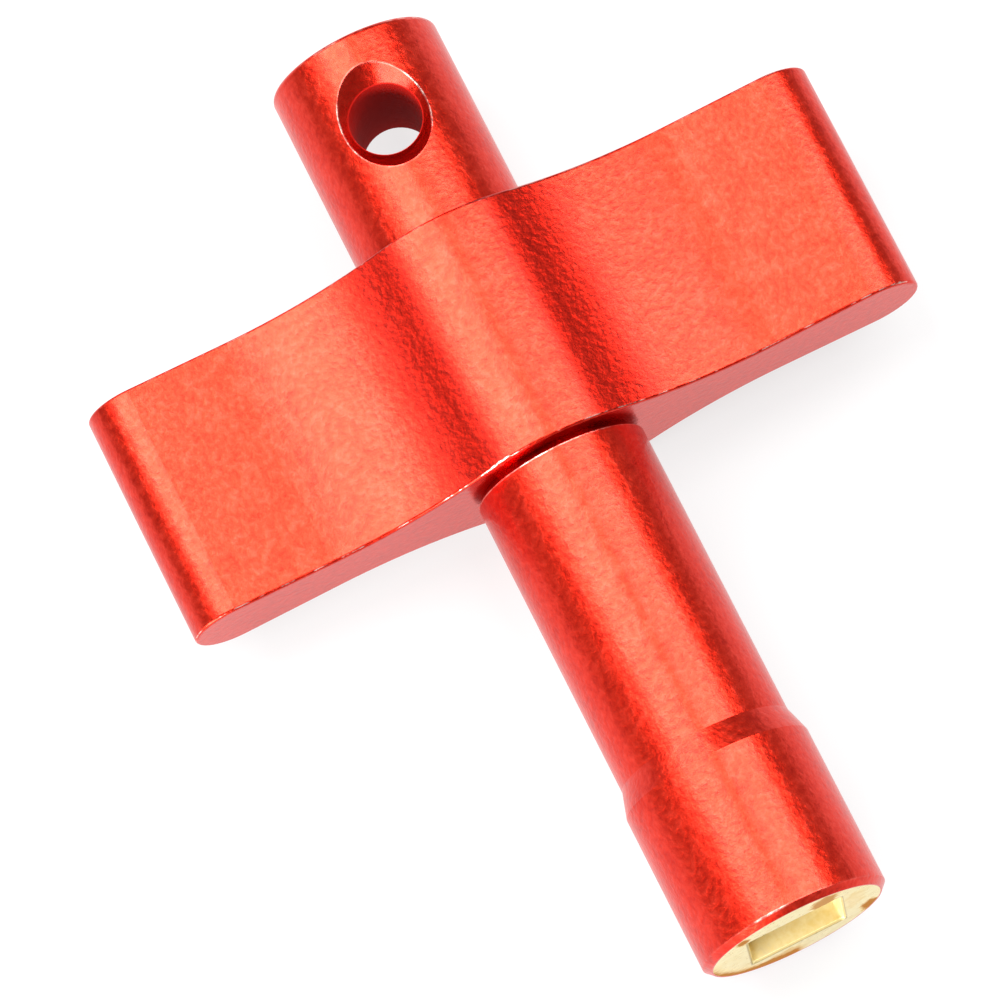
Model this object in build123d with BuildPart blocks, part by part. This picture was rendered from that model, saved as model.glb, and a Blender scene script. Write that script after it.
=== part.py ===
from build123d import *
from math import acos, asin, atan2, degrees, hypot
import os

os.makedirs("parts", exist_ok=True)

# A pocket socket key: a square socket on a round shank, turned by a pair of wings, with a
# cross-drilled post above the wings for a lanyard or a key ring. It lies on its hub, with the
# tool axis along Y (socket end at -Y) and the wings along X. All sizes are in millimetres.

# Stations along the tool axis, from the socket end to the post's end
COLLAR_LENGTH = 10.5
CONE_LENGTH = 1.65
SHANK_LENGTH = 19.85
HANDLE_HEIGHT = 15.4
POST_LENGTH = 13.2

# Turned bars
SHANK_DIAMETER = 11.0
POST_DIAMETER = 11.0

# Section of the extruded wings
WING_SPAN = 48.4
HUB_THICKNESS = 12.9
CROWN_RADIUS = 8.0
WAIST_THICKNESS = 5.1
WAIST_OFFSET = 14.0
TIP_THICKNESS = 5.7

# Broken edges
COLLAR_CHAMFER = 0.4
SHOULDER_CHAMFER = 0.45
POST_ROUND = 0.35
POST_FOOT_CHAMFER = 0.2
HANDLE_ROUND = 0.2

# Lanyard hole
LANYARD_HOLE_DIAMETER = 4.5
LANYARD_HOLE_FROM_END = 5.6
COUNTERSINK_WIDTH = 1.2
COUNTERSINK_ANGLE = 90

# Brass socket insert, pressed into the collar. The socket sets its size from the inside out.
SOCKET_ACROSS_FLATS = 6.0
SOCKET_CORNER_RADIUS = 0.25
SOCKET_LEAD_IN = 0.15
INSERT_CORNER_WALL = 0.861
INSERT_LENGTH = 10.5
FLANGE_STEP = 0.5
FLANGE_THICKNESS = 0.8
COLLAR_WALL = 1.0
BORE_END_GAP = 0.5

# Knurled spigot that drives the wings
SPIGOT_DIAMETER = 8.0
SPIGOT_LENGTH = 6.8
SPIGOT_END_GAP = 0.2
SPIGOT_CHAMFER = 0.3
KNURL_COUNT = 24
KNURL_DEPTH = 0.25

# Headless screw that ties the post to the shank through the hub
STUD_DIAMETER = 5.0
STUD_CHAMFER = 0.5
STUD_IN_SPIGOT = 7.4
STUD_END_GAP = 0.4
STUD_CLEARANCE = 0.15
POST_WEB = 0.95
STUD_KEY_ACROSS_FLATS = 2.5
STUD_KEY_DEPTH = 2.5

# Stations worked out from the lengths, centred on the origin
OVERALL_LENGTH = COLLAR_LENGTH + CONE_LENGTH + SHANK_LENGTH + HANDLE_HEIGHT + POST_LENGTH
SOCKET_END = -OVERALL_LENGTH / 2
CONE_START = SOCKET_END + COLLAR_LENGTH
SHANK_START = CONE_START + CONE_LENGTH
HANDLE_START = SHANK_START + SHANK_LENGTH
POST_START = HANDLE_START + HANDLE_HEIGHT
POST_END = POST_START + POST_LENGTH
SPIGOT_END = HANDLE_START + SPIGOT_LENGTH
LANYARD_HOLE_Y = POST_END - LANYARD_HOLE_FROM_END

# The stud stops short of a web that is left between its hole and the lanyard hole
POST_TAPPING_END = LANYARD_HOLE_Y - LANYARD_HOLE_DIAMETER / 2 - POST_WEB
STUD_END = POST_TAPPING_END - STUD_END_GAP
STUD_START = SPIGOT_END - STUD_IN_SPIGOT

# Diameters around the socket: its corners, then the wall of the insert, then the collar's wall
SOCKET_CORNER_REACH = (SOCKET_ACROSS_FLATS / 2 - SOCKET_CORNER_RADIUS) * 2**0.5 + SOCKET_CORNER_RADIUS
INSERT_DIAMETER = 2 * (SOCKET_CORNER_REACH + INSERT_CORNER_WALL)
FLANGE_DIAMETER = INSERT_DIAMETER + 2 * FLANGE_STEP
COLLAR_DIAMETER = INSERT_DIAMETER + 2 * COLLAR_WALL

# The thickest section rests on the ground plane
AXIS_HEIGHT = max(HUB_THICKNESS, COLLAR_DIAMETER, SHANK_DIAMETER, POST_DIAMETER) / 2

TOOL_AXIS = Axis((0, 0, AXIS_HEIGHT), (0, 1, 0))
TURNING_PLANE = Plane.XY.offset(AXIS_HEIGHT)


def facing_post(y):
    """Plane across the tool axis at station y, looking towards the post's end."""
    return Plane(origin=(0, y, AXIS_HEIGHT), x_dir=(1, 0, 0), z_dir=(0, 1, 0))


def facing_socket(y):
    """Plane across the tool axis at station y, looking towards the socket's end."""
    return Plane(origin=(0, y, AXIS_HEIGHT), x_dir=(1, 0, 0), z_dir=(0, -1, 0))


# Wing handle. The outline of a quarter of the section is a crown over the hub, a hollow flank
# that sweeps down to the waist, a straight side that thickens outwards, and a round tip. Each
# runs into the next without a corner.
crown_drop = (HUB_THICKNESS - WAIST_THICKNESS) / 2
flank_radius = (WAIST_OFFSET**2 + crown_drop**2) / (2 * crown_drop) - CROWN_RADIUS
flank_angle = degrees(asin(WAIST_OFFSET / (CROWN_RADIUS + flank_radius)))
flank_centre_y = WAIST_THICKNESS / 2 + flank_radius
tip_radius = TIP_THICKNESS / 2
tip_centre_x = WING_SPAN / 2 - tip_radius
centre_run = tip_centre_x - WAIST_OFFSET
centre_gap = hypot(centre_run, flank_centre_y)
side_angle = degrees(atan2(centre_run, flank_centre_y) - acos((flank_radius + tip_radius) / centre_gap))

with BuildPart() as wing_handle:
    with BuildSketch(facing_post(HANDLE_START)):
        with BuildLine():
            CenterArc((0, HUB_THICKNESS / 2 - CROWN_RADIUS), CROWN_RADIUS, 90, -flank_angle)
            flank = CenterArc(
                (WAIST_OFFSET, flank_centre_y), flank_radius, 270 - flank_angle, flank_angle + side_angle
            )
            tip = CenterArc((tip_centre_x, 0), tip_radius, 90 + side_angle, -90 - side_angle)
            Line(flank @ 1, tip @ 0)
            mirror(about=Plane.XZ)
            mirror(about=Plane.YZ)
        make_face()
    extrude(amount=HANDLE_HEIGHT)
    end_faces = wing_handle.faces().filter_by(Axis.Y)
    fillet(end_faces.edges(), HANDLE_ROUND)
    with Locations(facing_socket(HANDLE_START)):
        CounterBoreHole(
            radius=STUD_DIAMETER / 2 + STUD_CLEARANCE,
            counter_bore_radius=SPIGOT_DIAMETER / 2,
            counter_bore_depth=SPIGOT_LENGTH + SPIGOT_END_GAP,
        )
wing_handle.part.label = "wing_handle"
export_step(wing_handle.part, "parts/wing_handle.step")


# Lanyard post. A short turned bar that stands on top of the hub, with the countersunk cross hole
# near its end and a tapped blind hole in its foot.
with BuildPart() as lanyard_post:
    with BuildSketch(facing_post(POST_START)):
        Circle(POST_DIAMETER / 2)
    extrude(amount=POST_LENGTH)
    fillet(lanyard_post.edges().group_by(Axis.Y)[-1], POST_ROUND)
    chamfer(lanyard_post.edges().group_by(Axis.Y)[0], POST_FOOT_CHAMFER)
    with Locations(
        Location((0, LANYARD_HOLE_Y, AXIS_HEIGHT + POST_DIAMETER / 2)),
        Location((0, LANYARD_HOLE_Y, AXIS_HEIGHT - POST_DIAMETER / 2), (180, 0, 0)),
    ):
        CounterSinkHole(
            radius=LANYARD_HOLE_DIAMETER / 2,
            counter_sink_radius=LANYARD_HOLE_DIAMETER / 2 + COUNTERSINK_WIDTH,
            counter_sink_angle=COUNTERSINK_ANGLE,
        )
    with Locations(facing_socket(POST_START)):
        Hole(radius=STUD_DIAMETER / 2, depth=POST_TAPPING_END - POST_START)
lanyard_post.part.label = "lanyard_post"
export_step(lanyard_post.part, "parts/lanyard_post.step")


# Shank. One turned bar: the collar, the cone, the long shank with its shoulder against the hub,
# and the knurled spigot that is pressed into the handle. The collar is bored for the insert.
with BuildPart() as shank:
    with BuildSketch(TURNING_PLANE):
        with BuildLine():
            Polyline(
                (0, SOCKET_END),
                (COLLAR_DIAMETER / 2 - COLLAR_CHAMFER, SOCKET_END),
                (COLLAR_DIAMETER / 2, SOCKET_END + COLLAR_CHAMFER),
                (COLLAR_DIAMETER / 2, CONE_START),
                (SHANK_DIAMETER / 2, SHANK_START),
                (SHANK_DIAMETER / 2, HANDLE_START - SHOULDER_CHAMFER),
                (SHANK_DIAMETER / 2 - SHOULDER_CHAMFER, HANDLE_START),
                (SPIGOT_DIAMETER / 2, HANDLE_START),
                (SPIGOT_DIAMETER / 2, SPIGOT_END - SPIGOT_CHAMFER),
                (SPIGOT_DIAMETER / 2 - SPIGOT_CHAMFER, SPIGOT_END),
                (0, SPIGOT_END),
                close=True,
            )
        make_face()
    revolve(axis=TOOL_AXIS)
    with Locations(facing_socket(SOCKET_END)):
        CounterBoreHole(
            radius=INSERT_DIAMETER / 2,
            counter_bore_radius=FLANGE_DIAMETER / 2,
            counter_bore_depth=FLANGE_THICKNESS,
            depth=INSERT_LENGTH + BORE_END_GAP,
        )
    with Locations(facing_post(SPIGOT_END)):
        Hole(radius=STUD_DIAMETER / 2, depth=SPIGOT_END - STUD_START + STUD_END_GAP)
    with BuildSketch(facing_post(HANDLE_START)):
        with PolarLocations(SPIGOT_DIAMETER / 2, KNURL_COUNT):
            RegularPolygon(KNURL_DEPTH, 4)
    extrude(amount=SPIGOT_LENGTH, mode=Mode.SUBTRACT)
shank.part.label = "shank"
export_step(shank.part, "parts/shank.step")


# Tie stud. A headless steel screw that runs from the spigot through the hub into the post and
# pulls the three together. Its thread is a plain cylinder at the nominal diameter.
with BuildPart() as tie_stud:
    with BuildSketch(facing_post(STUD_START)):
        Circle(STUD_DIAMETER / 2)
    extrude(amount=STUD_END - STUD_START)
    chamfer(tie_stud.edges(), STUD_CHAMFER)
    with BuildSketch(facing_post(STUD_END)):
        RegularPolygon(STUD_KEY_ACROSS_FLATS / 2, 6, major_radius=False)
    extrude(amount=-STUD_KEY_DEPTH, mode=Mode.SUBTRACT)
tie_stud.part.label = "tie_stud"
export_step(tie_stud.part, "parts/tie_stud.step")


# Socket insert. A flanged brass bush, broached right through with the square socket. The flange
# seats flush in the mouth of the collar, and the square has a lead-in around its mouth.
with BuildPart() as socket_insert:
    with BuildSketch(facing_post(SOCKET_END)):
        Circle(FLANGE_DIAMETER / 2)
    extrude(amount=FLANGE_THICKNESS)
    with BuildSketch(facing_post(SOCKET_END + FLANGE_THICKNESS)):
        Circle(INSERT_DIAMETER / 2)
    extrude(amount=INSERT_LENGTH - FLANGE_THICKNESS)
    with BuildSketch(facing_post(SOCKET_END)):
        RectangleRounded(SOCKET_ACROSS_FLATS, SOCKET_ACROSS_FLATS, SOCKET_CORNER_RADIUS)
    extrude(amount=INSERT_LENGTH, mode=Mode.SUBTRACT)
    mouth_face = socket_insert.faces().filter_by(Axis.Y).sort_by(Axis.Y)[0]
    chamfer(mouth_face.inner_wires().edges(), SOCKET_LEAD_IN)
socket_insert.part.label = "socket_insert"
export_step(socket_insert.part, "parts/socket_insert.step")
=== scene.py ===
from math import cos, pi, radians, sin, tan

import bpy
from mathutils import Matrix, Vector


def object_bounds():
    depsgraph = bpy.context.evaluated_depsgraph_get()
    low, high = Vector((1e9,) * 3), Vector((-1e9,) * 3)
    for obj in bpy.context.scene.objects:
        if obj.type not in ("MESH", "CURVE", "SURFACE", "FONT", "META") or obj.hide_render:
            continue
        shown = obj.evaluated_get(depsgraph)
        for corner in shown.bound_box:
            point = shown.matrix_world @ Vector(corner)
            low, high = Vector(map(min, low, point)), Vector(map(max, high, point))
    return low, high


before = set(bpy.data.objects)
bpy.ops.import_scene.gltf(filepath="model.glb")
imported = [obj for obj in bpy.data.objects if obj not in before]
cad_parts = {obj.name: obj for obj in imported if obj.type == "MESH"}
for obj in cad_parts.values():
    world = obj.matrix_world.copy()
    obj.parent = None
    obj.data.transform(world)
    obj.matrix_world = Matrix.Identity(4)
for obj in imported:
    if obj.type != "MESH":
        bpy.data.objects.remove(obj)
cad_low, cad_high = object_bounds()
AXIS_HEIGHT = cad_high.z / 2

# The view: the key lies with its axis along Y and is looked at from almost straight above, a
# little from the socket end, through a long lens turned so that the post leans to the left.
VIEW_SIDE = radians(-2.3)
VIEW_FROM_END = radians(15.7)
VIEW_TURN = radians(-26.95)
VIEW_DISTANCE = 0.443
VIEW_LENS = 265.4
VIEW_ALONG_KEY = 0.00127
VIEW_TO_LEFT = 0.00406
NEAREST_SEEN = 0.01

toward_eye = Vector((sin(VIEW_SIDE) * cos(VIEW_FROM_END), -sin(VIEW_FROM_END),
                     cos(VIEW_SIDE) * cos(VIEW_FROM_END)))
level_right = Vector((cos(VIEW_SIDE), 0, -sin(VIEW_SIDE)))
level_up = toward_eye.cross(level_right)
eye_right = level_right * cos(VIEW_TURN) + level_up * sin(VIEW_TURN)
eye_up = level_up * cos(VIEW_TURN) - level_right * sin(VIEW_TURN)
view_aim = Vector((-VIEW_TO_LEFT, VIEW_ALONG_KEY, AXIS_HEIGHT))

camera = bpy.data.objects.new("camera", bpy.data.cameras.new("camera"))
bpy.context.scene.collection.objects.link(camera)
camera.data.lens = VIEW_LENS
camera.data.clip_start = NEAREST_SEEN
camera.matrix_world = Matrix.Translation(view_aim + toward_eye * VIEW_DISTANCE) @ Matrix(
    (eye_right, eye_up, toward_eye)).transposed().to_4x4()
bpy.context.scene.camera = camera
bpy.context.scene.view_settings.view_transform = "Standard"

# The floor: a white light table, a matt sheet lit from behind, so that it stays pale under
# the key and next to it.
FLOOR_REACH = 3.0
FLOOR_TONE = (0.12, 0.12, 0.12, 1)
FLOOR_ROUGHNESS = 0.9
FLOOR_GLOW = 0.76
WHITE = (1, 1, 1, 1)

floor_mesh = bpy.data.meshes.new("floor")
floor_mesh.from_pydata([(x * FLOOR_REACH, y * FLOOR_REACH, 0) for x, y in
                        ((-1, -1), (1, -1), (1, 1), (-1, 1))], [], [(0, 1, 2, 3)])
floor = bpy.data.objects.new("floor", floor_mesh)
bpy.context.scene.collection.objects.link(floor)
sheet = bpy.data.materials.new("light_table")
sheet.use_nodes = True
sheet_shader = sheet.node_tree.nodes["Principled BSDF"]
sheet_shader.inputs["Base Color"].default_value = FLOOR_TONE
sheet_shader.inputs["Roughness"].default_value = FLOOR_ROUGHNESS
sheet_shader.inputs["Emission Color"].default_value = WHITE
sheet_shader.inputs["Emission Strength"].default_value = FLOOR_GLOW
floor_mesh.materials.append(sheet)

# The light: two softboxes side by side over the key, with a dimmer skirt on the left one, a
# third box low in front on the left, and a dim room around them.
ROOM_GLOW = 0.30
LIGHT_DISTANCE = 0.5

room = bpy.data.worlds.new("room")
bpy.context.scene.world = room
room.use_nodes = True
room.node_tree.nodes["Background"].inputs["Color"].default_value = WHITE
room.node_tree.nodes["Background"].inputs["Strength"].default_value = ROOM_GLOW


def turned(degrees, axis):
    return Matrix.Rotation(radians(degrees), 4, axis)


def softbox(name, turn, wide, long, glow):
    """A panel facing the key, as wide and as long as the angles say, in degrees."""
    panel = bpy.data.lights.new(name, "AREA")
    panel.shape = "RECTANGLE"
    panel.size = 2 * LIGHT_DISTANCE * tan(radians(wide / 2))
    panel.size_y = 2 * LIGHT_DISTANCE * tan(radians(long / 2))
    panel.energy = glow * pi * panel.size * panel.size_y
    box = bpy.data.objects.new(name, panel)
    bpy.context.scene.collection.objects.link(box)
    box.matrix_world = turn @ Matrix.Translation((0, 0, LIGHT_DISTANCE))
    box.visible_camera = False


softbox("left_softbox", turned(-18, "Y") @ turned(-27, "X"), wide=36, long=44, glow=10.5)
softbox("left_skirt", turned(-43.5, "Y") @ turned(-30, "X"), wide=15, long=40, glow=2.6)
softbox("right_softbox", turned(28.5, "Y") @ turned(-3, "X"), wide=40, long=34, glow=9.2)
softbox("front_softbox", turned(-50, "Z") @ turned(71, "X"), wide=54, long=24, glow=16.0)


# The wings: one length of extruded aluminium bar with a crowned hub, cut to height, its ends
# rounded over, then bead-blasted and dyed red in the anodising bath. The spigot of the shank
# is pressed into it from below, and the stud draws the post down on it from above.
class Wire:
    """An output of a node. Arithmetic on it adds Math nodes to the tree that is being wired."""
    tree = None

    def __init__(self, socket):
        self.socket = socket

    @classmethod
    def node(cls, kind, settings=None, sockets=None, out=0):
        node = cls.tree.nodes.new(kind)
        for key, value in (settings or {}).items():
            if key == "stops":
                while len(node.color_ramp.elements) < len(value):
                    node.color_ramp.elements.new(1)
                for stop, (place, colour) in zip(node.color_ramp.elements, value):
                    stop.position = place
                    stop.color = (*colour, 1)
            else:
                setattr(node, key, value)
        for key, value in (sockets or {}).items():
            if isinstance(value, Wire):
                cls.tree.links.new(value.socket, node.inputs[key])
            else:
                node.inputs[key].default_value = value
        return cls(node.outputs[out])

    @classmethod
    def maths(cls, operation, *terms):
        return cls.node("ShaderNodeMath", {"operation": operation}, dict(enumerate(terms)))

    def __add__(self, other):
        return Wire.maths("ADD", self, other)

    def __radd__(self, other):
        return Wire.maths("ADD", other, self)

    def __sub__(self, other):
        return Wire.maths("SUBTRACT", self, other)

    def __rsub__(self, other):
        return Wire.maths("SUBTRACT", other, self)

    def __mul__(self, other):
        return Wire.maths("MULTIPLY", self, other)

    def __rmul__(self, other):
        return Wire.maths("MULTIPLY", other, self)

    def __truediv__(self, other):
        return Wire.maths("DIVIDE", self, other)

    def __rtruediv__(self, other):
        return Wire.maths("DIVIDE", other, self)

    def __abs__(self):
        return Wire.maths("ABSOLUTE", self)

    def root(self):
        return Wire.maths("SQRT", self)

    def step(self, start, end):
        """0 before start, 1 after end, smooth between."""
        return Wire.node("ShaderNodeMapRange", {"interpolation_type": "SMOOTHSTEP"},
                         {"Value": self, "From Min": start, "From Max": end})

    def drop(self, start, end):
        """1 before start, 0 after end, smooth between."""
        return 1 - self.step(start, end)

    def plug(self, shader, socket):
        Wire.tree.links.new(self.socket, shader.inputs[socket])


def blend_colours(amount, first, second):
    return Wire.node("ShaderNodeMix", {"data_type": "RGBA"}, {0: amount, 6: first, 7: second}, out=2)


def ramp(amount, *stops):
    return Wire.node("ShaderNodeValToRGB", {"stops": stops}, {"Fac": amount})


def new_finish(name):
    material = bpy.data.materials.new(name)
    material.use_nodes = True
    Wire.tree = material.node_tree
    shader = material.node_tree.nodes["Principled BSDF"]
    shader.inputs["Metallic"].default_value = 1
    return material, shader


def object_place():
    return Wire.node("ShaderNodeTexCoord", out="Object")


def grain(place, size, detail, roughness=0.5):
    return Wire.node("ShaderNodeTexNoise", {}, {"Vector": place, "Scale": 1 / size,
                                               "Detail": detail, "Roughness": roughness})


def parts_of(vector):
    split = Wire.node("ShaderNodeSeparateXYZ", {}, {0: vector})
    return [Wire(part) for part in split.socket.node.outputs]


def facing():
    return parts_of(Wire.node("ShaderNodeTexCoord", out="Normal"))


BLAST_GRAIN = 0.00042
BLAST_DEPTH = 0.00006
BLAST_RELIEF = 0.8
DYE_CLOUD = 0.0018
CHIP_SIZE = 0.0005
RED_THIN = (0.74, 0.038, 0.019)
RED_FULL = (0.67, 0.024, 0.009)
RED_DEEP = (0.57, 0.014, 0.005)
# A darker red painted in as shade: on the hub's steep flanks, in the countersink and on the shoulder
# chamfer and spigot.
RED_PAINTED_SHADE = (0.36, 0.008, 0.003, 1)
# A dark red painted in as shade inside the lanyard hole.
RED_BORE_PAINTED_SHADE = (0.34, 0.008, 0.005, 1)
# Pinkish bare metal for chipped edges, also used for painted highlights.
BARE_ALUMINIUM_AND_HIGHLIGHT = (0.90, 0.66, 0.58, 1)
SATIN = 0.27
# How strongly the chips and the painted highlights show.
WEAR_AND_HIGHLIGHT_STRENGTH = 0.8
FILM_WEIGHT = 0.4
FILM_GLOSS = {"Coat IOR": 1.3, "Coat Roughness": 0.22}
# The finish painted in as shade inside the lanyard hole: dark red, matt and barely reflecting.
BORE_PAINTED_SHADE = {"Base Color": RED_BORE_PAINTED_SHADE, "Roughness": 0.7, "Specular IOR Level": 0.03}
EDGE_LEAN_FROM = 0.08, 0.2  # how far a surface leans towards the ends of the key, squared
EDGE_LEAN_TO = 0.34, 0.46
END_FACE_LEAN = 0.85, 0.98
CHIP_EDGE = 0.5, 0.6
# Breaks up the painted highlights into specks.
HIGHLIGHT_BREAKUP = 0.4, 0.6


def red_anodise(name, marks, bore_shade=None):
    """Blasted and dyed aluminium. marks turns the chips on rounded edges, partly wear and partly painted
    highlight, into what is chipped, where a highlight is painted and where shade is painted; the last
    argument says where a matt dark red is painted in as shade."""
    material, shader = new_finish(name)
    place = object_place()
    facing_y = facing()[1]
    blast = grain(place, BLAST_GRAIN, 3, 0.55)
    cloud = grain(place, DYE_CLOUD, 2)
    chips = grain(place, CHIP_SIZE, 2)

    lean = facing_y * facing_y
    end_face = lean.step(*END_FACE_LEAN)
    # Bare chips on rounded edges: partly wear, partly painted highlight, weighted towards the edges that
    # face the socket end.
    rounded_edge = lean.step(*EDGE_LEAN_FROM) * lean.drop(*EDGE_LEAN_TO) * (0.7 - facing_y * 0.5)
    chips_and_glints = rounded_edge * (chips * 0.5 + cloud * 0.5).step(*CHIP_EDGE)
    chips_and_glints, painted_highlight, painted_shade = marks(place, chips_and_glints)
    # Painted highlights are blended in with the chips, as the same pale colour.
    bare_and_highlight = Wire.maths("MAXIMUM", chips_and_glints, painted_highlight * (chips.step(*HIGHLIGHT_BREAKUP) * 0.7 + 0.3))

    dye = ramp(blast * 0.7 + cloud * 0.3, (0.32, RED_DEEP), (0.5, RED_FULL), (0.68, RED_THIN))
    # Painted shade: the darker red goes where marks asks for it.
    dye = blend_colours(painted_shade, dye, RED_PAINTED_SHADE)
    blend_colours(bare_and_highlight * WEAR_AND_HIGHLIGHT_STRENGTH, dye, BARE_ALUMINIUM_AND_HIGHLIGHT).plug(shader, "Base Color")
    (blast * 0.10 + cloud * 0.04 + SATIN - end_face * 0.1).plug(shader, "Roughness")
    (FILM_WEIGHT - end_face * 0.32).plug(shader, "Coat Weight")
    for socket, value in FILM_GLOSS.items():
        shader.inputs[socket].default_value = value
    relief = Wire.node("ShaderNodeBump", {}, {"Strength": BLAST_RELIEF, "Distance": BLAST_DEPTH,
                                              "Height": blast * (1 - end_face * 0.6)})
    relief.plug(shader, "Normal")
    # The bore is painted a matt dark red as shade.
    if bore_shade is not None:
        shaded_bore = Wire.node("ShaderNodeBsdfPrincipled", {}, {**BORE_PAINTED_SHADE, "Normal": relief})
        both = Wire.node("ShaderNodeMixShader", {}, {0: bore_shade(place), 1: Wire(shader.outputs[0]), 2: shaded_bore})
        both.plug(material.node_tree.nodes["Material Output"], "Surface")
    return material


def dress(name, material):
    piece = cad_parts[name]
    piece.data.materials.clear()
    piece.data.materials.append(material)


HUB_EDGE = 0.010, 0.012
FLANK_LEAN = 0.27, 0.46
# How much painted shade the hub's steep flanks get.
FLANK_PAINTED_SHADE = 0.8


def wing_marks(place, chips_and_glints):
    """Shade is painted as a darker red on the steep flanks of the hub."""
    on_hub = abs(parts_of(place)[0]).drop(*HUB_EDGE)
    return chips_and_glints, 0, abs(facing()[0]).step(*FLANK_LEAN) * on_hub * FLANK_PAINTED_SHADE


dress("wing_handle", red_anodise("wing_red_anodise", wing_marks))

# The post: a short turned bar of the same aluminium, cross-drilled and countersunk on both
# sides for the lanyard, blasted and dyed with the wings. A highlight is painted on the hole's
# rim at its sides, shade is painted in the countersink, most on its socket side, and the bore
# is painted a matt dark red as shade.
POST_RADIUS = 0.0055
HOLE_RADIUS = 0.00225
HOLE_FROM_END = 0.0056
COUNTERSINK_WIDTH = 0.0012
HAIR = 0.00001  # a hundredth of a millimetre, which the marks' soft edges are counted in
HOLE_EDGE = HOLE_RADIUS + 2 * HAIR, HOLE_RADIUS + 10 * HAIR
RIM_EDGE = 3 * HAIR, 12 * HAIR
RIM_DEPTH = 3 * HAIR, 10 * HAIR
CONE_EDGE = 2 * HAIR, 10 * HAIR
CONE_DEPTH = HAIR, 4 * HAIR
# Where on the rim the painted highlight is strongest.
RIM_HIGHLIGHT_SIDES = 0.0021, 0.0027
CHIPS_FROM_HOLE = 0.0034, 0.0038
SOCKET_SIDE = -0.0004, 0.0014

hole_along = cad_high.y - HOLE_FROM_END


def from_hole(place):
    """Across the hole, along the key from it, and how far from its axis."""
    x, y = parts_of(place)[:2]
    along = y - hole_along
    return x, along, (x * x + along * along).root()


def inside_hole(place):
    return from_hole(place)[2].drop(*HOLE_EDGE)


def post_marks(place, chips_and_glints):
    """The countersink is a cone at 45 degrees, and its rim is where that cone meets the bar."""
    x, along, reach = from_hole(place)
    height = parts_of(place)[2] - AXIS_HEIGHT
    below_bar = POST_RADIUS - (x * x + height * height).root()
    off_cone = reach - abs(height) + (POST_RADIUS - HOLE_RADIUS - COUNTERSINK_WIDTH)
    rim = off_cone.drop(*RIM_EDGE) * below_bar.drop(*RIM_DEPTH)
    # Painted highlight on the rim, strongest at its sides.
    rim_highlight_sides = abs(x).step(*RIM_HIGHLIGHT_SIDES) * 1.1 + 0.08
    # Painted shade in the countersink, deeper on its socket side.
    cone = off_cone.drop(*CONE_EDGE) * below_bar.step(*CONE_DEPTH)
    socket_side = (0 - along).step(*SOCKET_SIDE)
    return chips_and_glints * reach.step(*CHIPS_FROM_HOLE), rim * rim_highlight_sides, cone * (socket_side * 0.6 + 0.4)


dress("lanyard_post", red_anodise("post_red_anodise", post_marks, inside_hole))

# The shank: turned from bar with a thicker collar around the socket, a cone between the two
# and a knurled spigot inside the wings; the same blasted red finish, with a painted highlight
# along the shoulder's edge and on part of the mouth's edge, and painted shade on the shoulder
# chamfer and the spigot.
SHOULDER_FROM_END = 0.03155
COLLAR_CHAMFER = 0.0004
# Width of the painted highlight lines at the shoulder and the mouth.
HIGHLIGHT_LINE = 3 * HAIR, 9 * HAIR
NECK_START = -2 * HAIR, 6 * HAIR
SHOULDER_FADE = -0.0016, 0.0004
# Where along the mouth's edge its painted highlight lies.
MOUTH_HIGHLIGHT_START = -0.0026, -0.0016
MOUTH_HIGHLIGHT_END = -0.0008, 0.0002


def shank_marks(place, chips_and_glints):
    """The shoulder's painted highlight fades to one side; the mouth's lies on part of its edge."""
    x, y = parts_of(place)[:2]
    from_mouth = y - cad_low.y
    past_shoulder = from_mouth - SHOULDER_FROM_END
    # Painted highlight along the shoulder's edge, and on part of the mouth's edge.
    shoulder_highlight = abs(past_shoulder).drop(*HIGHLIGHT_LINE) * (1 - x.step(*SHOULDER_FADE) * 0.7)
    mouth_edge = abs(from_mouth - COLLAR_CHAMFER).drop(*HIGHLIGHT_LINE)
    mouth_highlight_span = x.step(*MOUTH_HIGHLIGHT_START) * x.drop(*MOUTH_HIGHLIGHT_END)
    # Painted shade on the shoulder chamfer and the spigot past it.
    neck_painted_shade = past_shoulder.step(*NECK_START)
    return chips_and_glints, shoulder_highlight + mouth_edge * (mouth_highlight_span * 0.5 + 0.05), neck_painted_shade


dress("shank", red_anodise("shank_red_anodise", shank_marks))

# The socket insert: free-cutting brass, turned and faced, with a broached square hole, pressed
# into the collar. It is left bare and has tarnished in patches; the dark strip at its lower-left
# rim and the two dark patches just above the socket are painted shade.
BRASS_CLEAN = (0.80, 0.64, 0.26)
BRASS_PALE = (0.87, 0.76, 0.42)
# Dark brown for tarnish, also painted in as shade at the lower-left rim and just above the socket.
BRASS_STAIN_AND_SHADE = (0.28, 0.10, 0.004, 1)
BRASS_SHADED = (0.46, 0.35, 0.15, 1)
BRASS_ROUGHNESS = 0.2
BRASS_STAIN_GLOSS = 0.06
HALF_SQUARE = 0.003
LEAD_IN = 0.00015
SQUARE_EDGE = HALF_SQUARE + HAIR, HALF_SQUARE + 5 * HAIR
MOUTH_EDGE = HALF_SQUARE + LEAD_IN + HAIR, HALF_SQUARE + LEAD_IN + 5 * HAIR
BEHIND_FACE = HAIR, 3 * HAIR
TURNING_PITCH = 0.00012
TURNING_DEPTH = 0.00002
TURNING_RELIEF = 0.12
PATCH_SIZE = 0.0016
SPECKLE_SIZE = 0.0004
# A dark strip painted as shade along the lower-left rim of the face.
RIM_SHADE_REACH = 0.0046, 0.0058
RIM_SHADE_ACROSS = 0.0012, 0.0026
RIM_SHADE_UP = -0.0005, 0.0015
STAIN_EDGE = 0.6, 1.3
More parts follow.
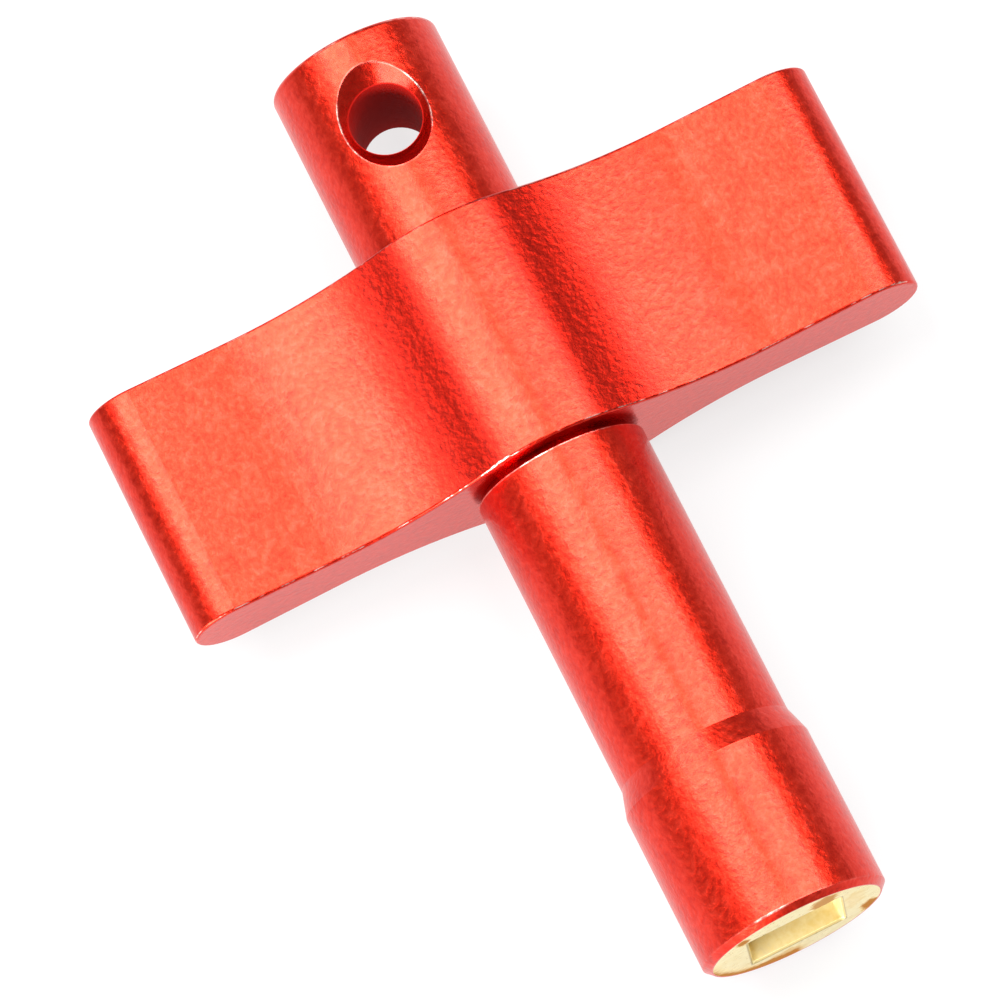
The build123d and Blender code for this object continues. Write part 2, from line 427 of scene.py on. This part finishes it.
# Dark patches listed one by one: the first two, just above the socket, are painted shadow; the rest
# darken the face where listed.
STAINS_AND_SHADOWS = [  # across, up, half width, half height, strength
    (-0.0033, 0.0037, 0.0005, 0.0006, 1.0),
    (0.0020, 0.0038, 0.0009, 0.0014, 0.9),
    (0.0047, -0.0022, 0.0006, 0.0012, 1.0),
    (0.0038, 0.0008, 0.0007, 0.0016, 0.3),
    (-0.0012, -0.0044, 0.0012, 0.0008, 0.6),
]

brass, brass_shader = new_finish("tarnished_brass")
place = object_place()
x, y, z = parts_of(place)
height = z - AXIS_HEIGHT
radius = (x * x + height * height).root()
patches = grain(place, PATCH_SIZE, 4, 0.6)
speckle = grain(place, SPECKLE_SIZE, 3)
ragged = (patches - 0.5) * 1.2 + (speckle - 0.5) * 0.6

# Painted shade along the lower-left rim.
rim_painted_shade = (radius - height * 0.12 + ragged * 0.0008).step(*RIM_SHADE_REACH)
rim_painted_shade = rim_painted_shade * (x - height * 0.35).drop(*RIM_SHADE_ACROSS) * height.drop(*RIM_SHADE_UP)
# Tarnish patches, plus the painted shade at the rim and the listed patches.
stain_and_shade = rim_painted_shade * 1.1 + patches.step(0.55, 0.7) * 0.2
for across, up, half_width, half_height, strength in STAINS_AND_SHADOWS:
    beside = (x - across) / half_width
    above = (height - up) / half_height
    stain_and_shade = stain_and_shade + ((beside * beside + above * above).root() + ragged).drop(*STAIN_EDGE) * strength
stain_and_shade = Wire.maths("MINIMUM", stain_and_shade, 1)

from_middle = Wire.maths("MAXIMUM", abs(x), abs(height))
off_face = from_middle.drop(*MOUTH_EDGE)
inside = off_face * (y - cad_low.y).step(*BEHIND_FACE)
lead_in = off_face * from_middle.step(*SQUARE_EDGE)
tone = ramp(patches * 0.6 + speckle * 0.4, (0.35, BRASS_CLEAN), (0.6, BRASS_PALE))
tone = blend_colours(lead_in * 0.85, tone, BRASS_SHADED)
blend_colours(stain_and_shade, tone, BRASS_STAIN_AND_SHADE).plug(brass_shader, "Base Color")
(BRASS_ROUGHNESS + speckle * 0.2 + stain_and_shade * 0.25 + inside * 0.3).plug(brass_shader, "Roughness")
Wire.maths("MAXIMUM", 1 - inside * 0.55 - stain_and_shade, 0).plug(brass_shader, "Metallic")
brass_shader.inputs["Specular IOR Level"].default_value = BRASS_STAIN_GLOSS
rings = Wire.maths("SINE", radius * (2 * pi / TURNING_PITCH))
Wire.node("ShaderNodeBump", {}, {"Strength": TURNING_RELIEF, "Distance": TURNING_DEPTH,
                                 "Height": rings * 0.3 + speckle}).plug(brass_shader, "Normal")
dress("socket_insert", brass)

# The stud: a zinc-plated steel stud, all inside the key, that ties the post to the shank
# through the hub of the wings.
ZINC_DULL = (0.60, 0.61, 0.63)
ZINC_BRIGHT = (0.74, 0.76, 0.78)
ZINC_ROUGHNESS = 0.25
SPANGLE_SIZE = 0.0008

zinc, zinc_shader = new_finish("zinc_plate")
spangle = grain(object_place(), SPANGLE_SIZE, 2)
ramp(spangle, (0.3, ZINC_DULL), (0.7, ZINC_BRIGHT)).plug(zinc_shader, "Base Color")
(ZINC_ROUGHNESS + spangle * 0.15).plug(zinc_shader, "Roughness")
dress("tie_stud", zinc)
